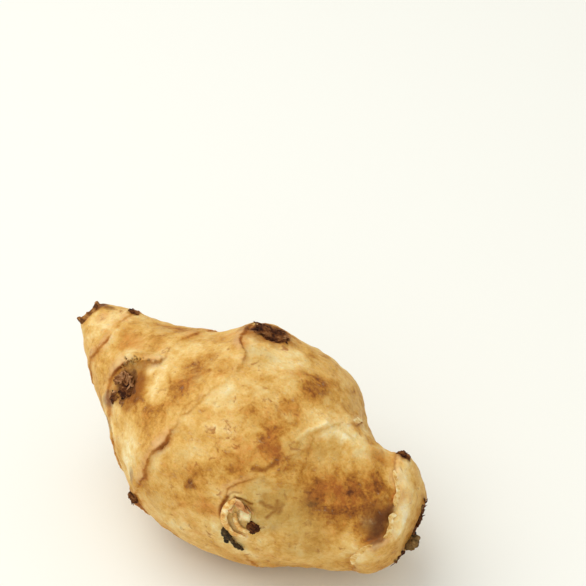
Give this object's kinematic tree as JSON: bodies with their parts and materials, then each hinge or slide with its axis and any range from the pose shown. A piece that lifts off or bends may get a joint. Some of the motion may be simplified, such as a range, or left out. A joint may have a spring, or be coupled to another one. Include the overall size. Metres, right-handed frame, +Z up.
{
  "type": "jerusalem artichoke",
  "caption": "Knobbly tapering tuber lying on its side, ringed by leaf scars with dark buds, with a hollow snapped tip and a torn collar at the broad end.",
  "frame": {"origin": "on the surface the tuber rests on, under the middle of its bounding box", "axes": "+X along the tuber from its snapped tip to its torn broad end, +Y towards its back, +Z up"},
  "size_m": [0.091, 0.0502, 0.0489],
  "materials": {
    "tuber_skin": "thin satin natural skin, cream to golden tan with brown scars"
  },
  "bodies": {
    "root": {"tuber": "tuber_skin"}
  },
  "joints": []
}
